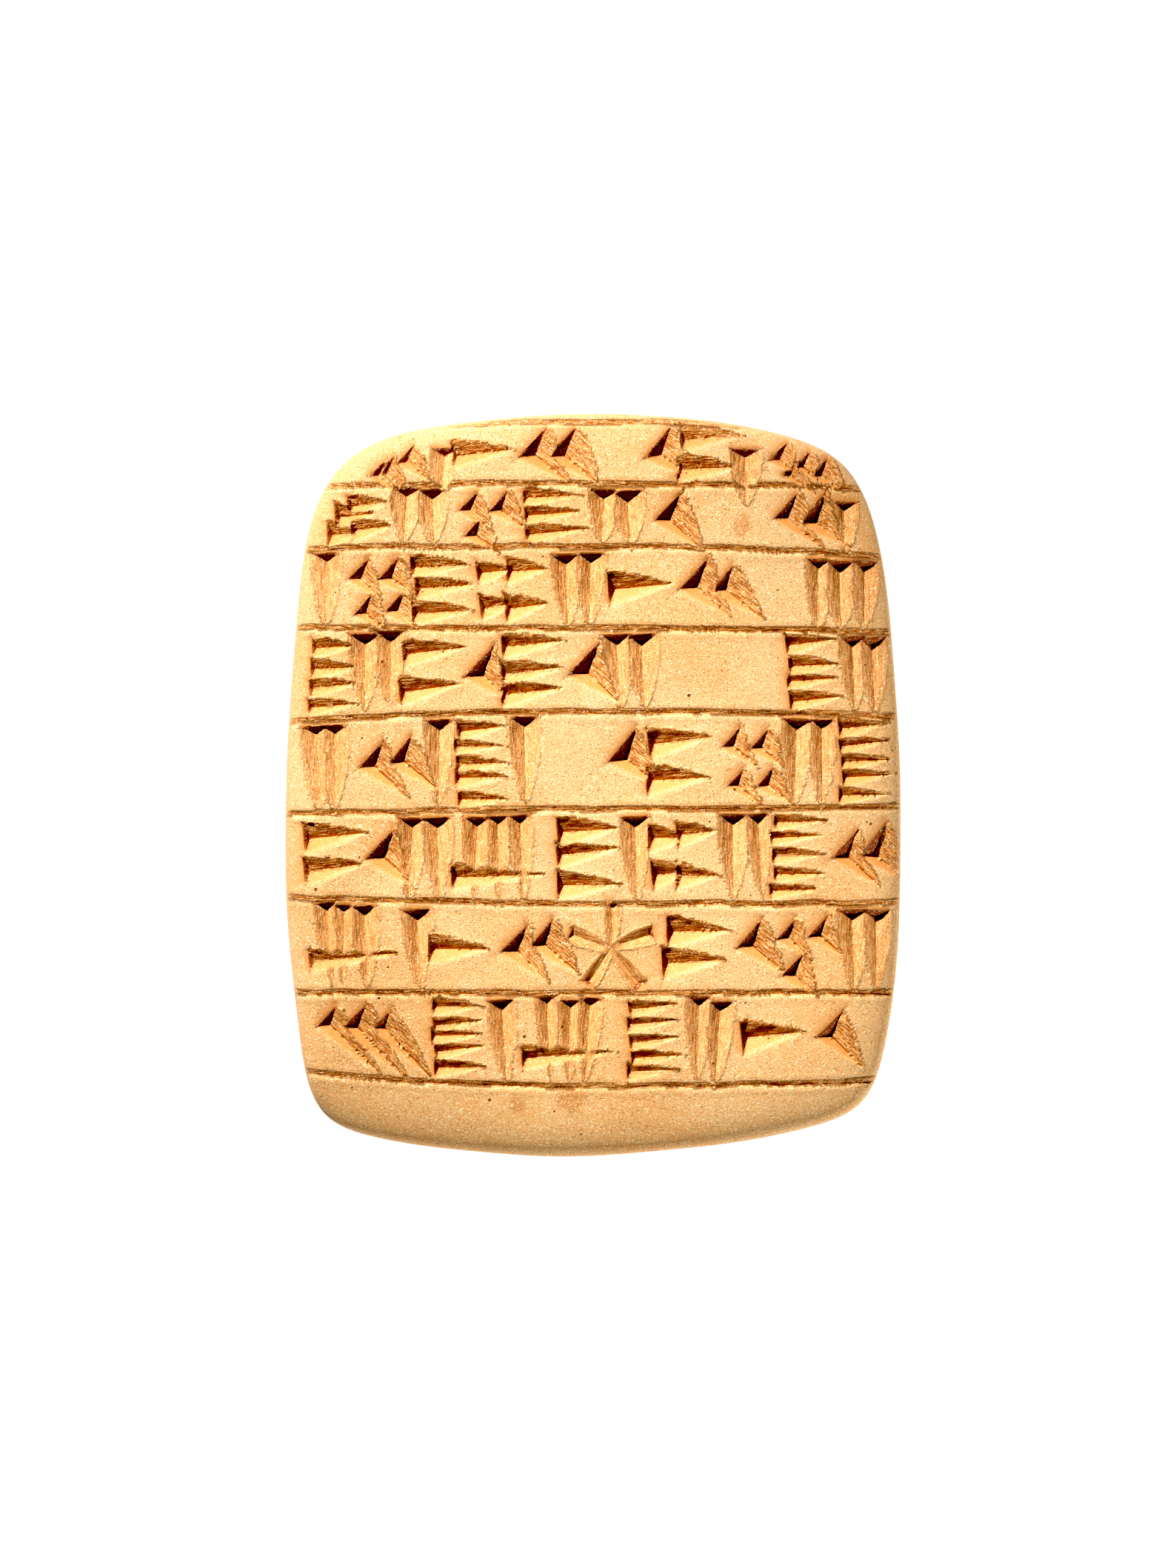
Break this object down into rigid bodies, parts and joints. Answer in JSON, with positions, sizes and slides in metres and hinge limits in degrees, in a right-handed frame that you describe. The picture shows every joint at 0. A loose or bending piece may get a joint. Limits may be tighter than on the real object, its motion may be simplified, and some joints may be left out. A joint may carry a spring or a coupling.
{
  "type": "cuneiform tablet",
  "caption": "Hand-sized pillow-shaped clay tablet, ruled across its front and impressed with rows of wedge-shaped stylus strokes above a bare band.",
  "frame": {"origin": "middle of the flat spot on the back, which the tablet rests on as it lies face up", "axes": "+X to the reader's right, +Y to the top of the writing, +Z out of the inscribed face"},
  "size_m": [0.0798, 0.096, 0.024],
  "materials": {
    "clay": "matte"
  },
  "bodies": {
    "root": {"tablet": "clay"}
  },
  "joints": []
}
